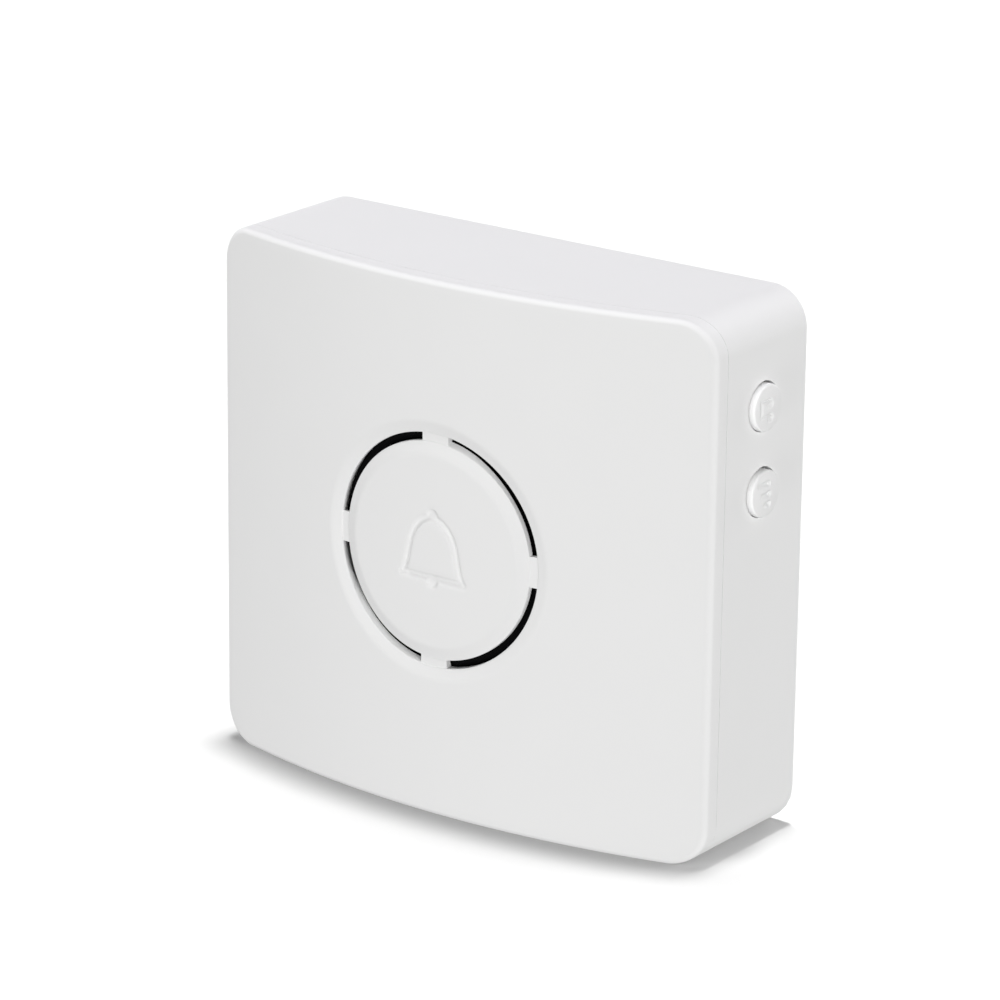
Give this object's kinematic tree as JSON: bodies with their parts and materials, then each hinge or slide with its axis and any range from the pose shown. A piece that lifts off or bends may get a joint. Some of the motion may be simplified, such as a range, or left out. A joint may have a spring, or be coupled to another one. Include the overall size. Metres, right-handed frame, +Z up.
{
  "type": "wireless doorbell chime",
  "caption": "White doorbell chime box with a bulged front, ring of sound slots around a fixed bell disc, push buttons in its side and a hinged battery flap at the back.",
  "frame": {"origin": "on the flat bottom face, below the middle of the body's width and depth", "axes": "+X to the right seen from the front, +Y towards the back, +Z up; the bulged front faces -Y and the push buttons face +X"},
  "size_m": [0.0921, 0.031, 0.084],
  "materials": {
    "case_white": "satin white moulded plastic with a very fine grain",
    "button_white": "satin white moulded plastic",
    "switch_black": "matt black moulded plastic",
    "chip_black": "matt black moulding compound",
    "board_green": "green solder mask over copper tracks",
    "connector_ivory": "ivory nylon",
    "steel": "zinc plated steel",
    "spring_steel": "nickel plated spring wire",
    "can_steel": "drawn steel can",
    "capacitor_sleeve": "aluminium can with a dark sleeve",
    "copper": "enamelled copper wire",
    "cloth_black": "black acoustic cloth",
    "gasket_foam": "closed cell foam",
    "frame_grey": "black coated pressed steel",
    "cone_paper": "pressed black paper cone",
    "ferrite": "ground ferrite",
    "tag_board": "brown paper laminate",
    "clamp_white": "matt moulded plastic",
    "cell_jacket": "dark grey printed jacket with bare steel ends",
    "wire_red": "red insulation",
    "wire_black": "black insulation"
  },
  "bodies": {
    "case": {"front_cover": "case_white", "rear_housing": "case_white", "melody_switch_body": "switch_black", "volume_switch_body": "switch_black", "main_board": "board_green", "board_screws": "steel", "controller_chip": "chip_black", "crystal": "can_steel", "capacitor": "capacitor_sleeve", "radio_board": "board_green", "antenna_coil": "copper", "speaker_connector": "connector_ivory", "battery_connector": "connector_ivory", "dust_cloth": "cloth_black", "speaker_gasket": "gasket_foam", "speaker_frame": "frame_grey", "speaker_cone": "cone_paper", "speaker_magnet": "ferrite", "speaker_yoke": "steel", "speaker_terminals": "tag_board", "speaker_clamp": "clamp_white", "speaker_screws": "steel", "battery_cells": "cell_jacket", "battery_springs": "spring_steel", "contact_plates": "spring_steel", "case_screws": "steel", "speaker_lead_red": "wire_red", "speaker_lead_black": "wire_black", "battery_lead_red": "wire_red", "battery_lead_black": "wire_black"},
    "battery_door": {"battery_door": "case_white"},
    "melody_button": {"melody_button": "button_white", "melody_switch_plunger": "switch_black"},
    "volume_button": {"volume_button": "button_white", "volume_switch_plunger": "switch_black"}
  },
  "joints": [
    {"name": "melody_press", "type": "slide", "parent": "case", "child": "melody_button", "axis": [-1, 0, 0], "range_m": [0, 0.0008], "stiffness_N_per_m": 1500},
    {"name": "volume_press", "type": "slide", "parent": "case", "child": "volume_button", "axis": [-1, 0, 0], "range_m": [0, 0.0008], "stiffness_N_per_m": 1500},
    {"name": "battery_door_hinge", "type": "hinge", "parent": "case", "child": "battery_door", "pos_m": [-0.0085, 0.0143, 0.065], "axis": [1, 0, 0], "range_deg": [0, 90]}
  ]
}
